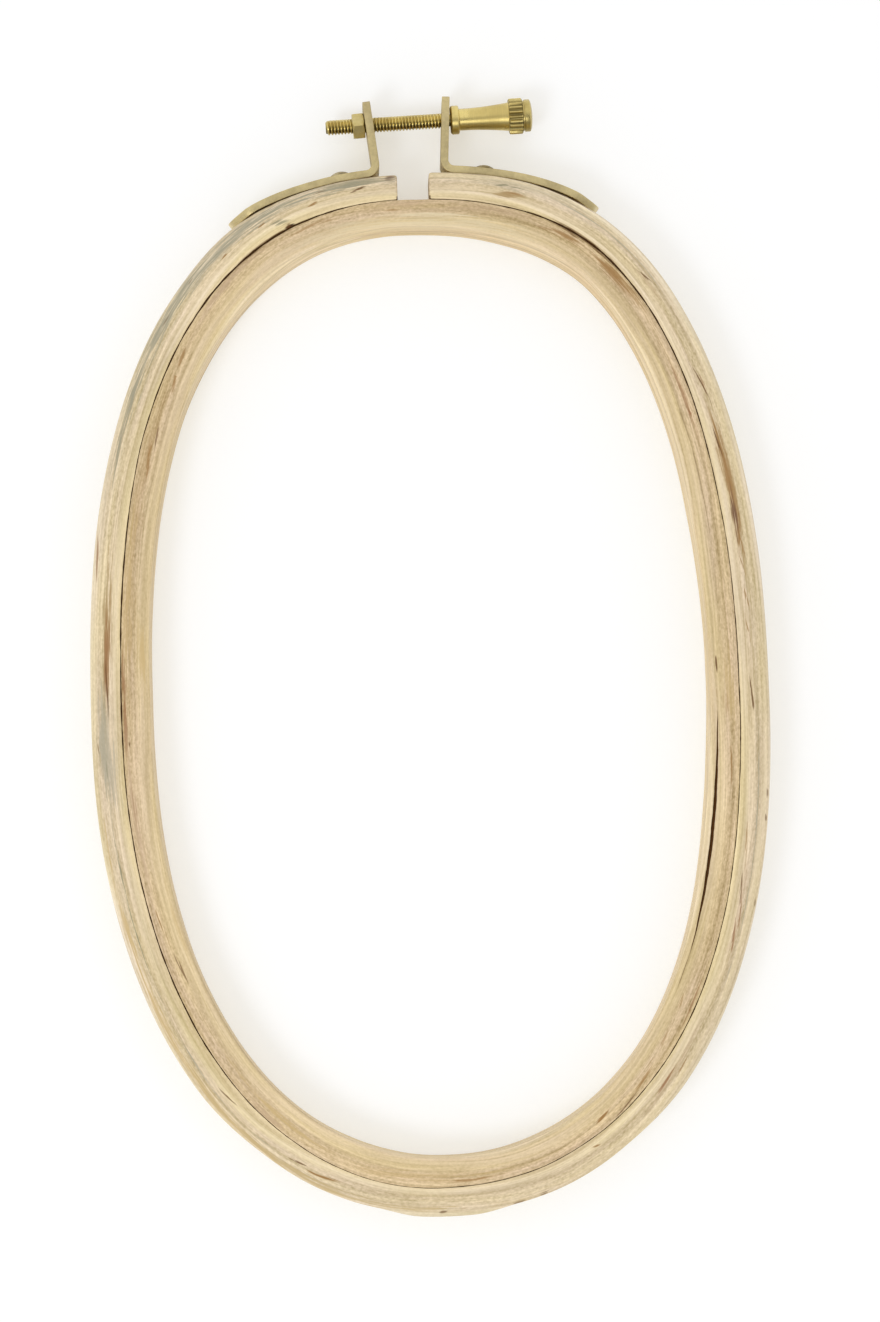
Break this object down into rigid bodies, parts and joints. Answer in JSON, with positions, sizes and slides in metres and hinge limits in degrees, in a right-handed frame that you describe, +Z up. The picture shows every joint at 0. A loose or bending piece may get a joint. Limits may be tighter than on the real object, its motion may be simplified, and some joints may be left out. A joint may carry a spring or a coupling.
{
  "type": "embroidery hoop",
  "caption": "Oval wooden embroidery hoop: an inner ring inside a split outer ring that a brass thumb screw and nut draw shut between two riveted tabs.",
  "frame": {"origin": "on the underside, at the middle of the hoop and its clamp as seen from above", "axes": "+Z up from the underside to the working face, +Y towards the clamp, +X towards the screw's knob"},
  "size_m": [0.1306, 0.217, 0.01],
  "materials": {
    "outer_wood": "bare bent wood, pale with grey and brown streaks along the ring",
    "inner_wood": "bare bent wood, warmer, with brown streaks along the ring",
    "strip_brass": "dull, lightly tarnished rolled brass",
    "turned_brass": "turned brass, half bright"
  },
  "bodies": {
    "hoop": {"outer_ring": "outer_wood", "left_bracket": "strip_brass", "left_rivet": "strip_brass"},
    "free_end": {"right_bracket": "strip_brass", "right_rivet": "strip_brass"},
    "screw": {"thumb_screw": "turned_brass"},
    "nut": {"hex_nut": "turned_brass"},
    "inner": {"inner_ring": "inner_wood"}
  },
  "joints": [
    {"name": "ring_flex", "type": "hinge", "parent": "hoop", "child": "free_end", "pos_m": [0, -0.10562, 0.005], "axis": [0, 0, -1], "range_deg": [0, 1.22], "deforming": ["outer_ring"]},
    {"name": "screw_turn", "type": "hinge", "parent": "free_end", "child": "screw", "pos_m": [0.0069, 0.10419, 0.005], "axis": [0.9994, 0.0342, 0], "range_deg": [0, 2520]},
    {"name": "nut_travel", "type": "slide", "parent": "free_end", "child": "nut", "axis": [-0.9994, -0.0342, 0], "range_m": [0, 0.0045]},
    {"name": "inner_ring_lift", "type": "slide", "parent": "hoop", "child": "inner", "axis": [0, 0, 1], "range_m": [0, 0.02]}
  ],
  "couplings": [
    {"joint": "screw_turn", "follows": "ring_flex", "ratio": 2072.5},
    {"joint": "nut_travel", "follows": "ring_flex", "m_per_rad": 0.20945}
  ]
}
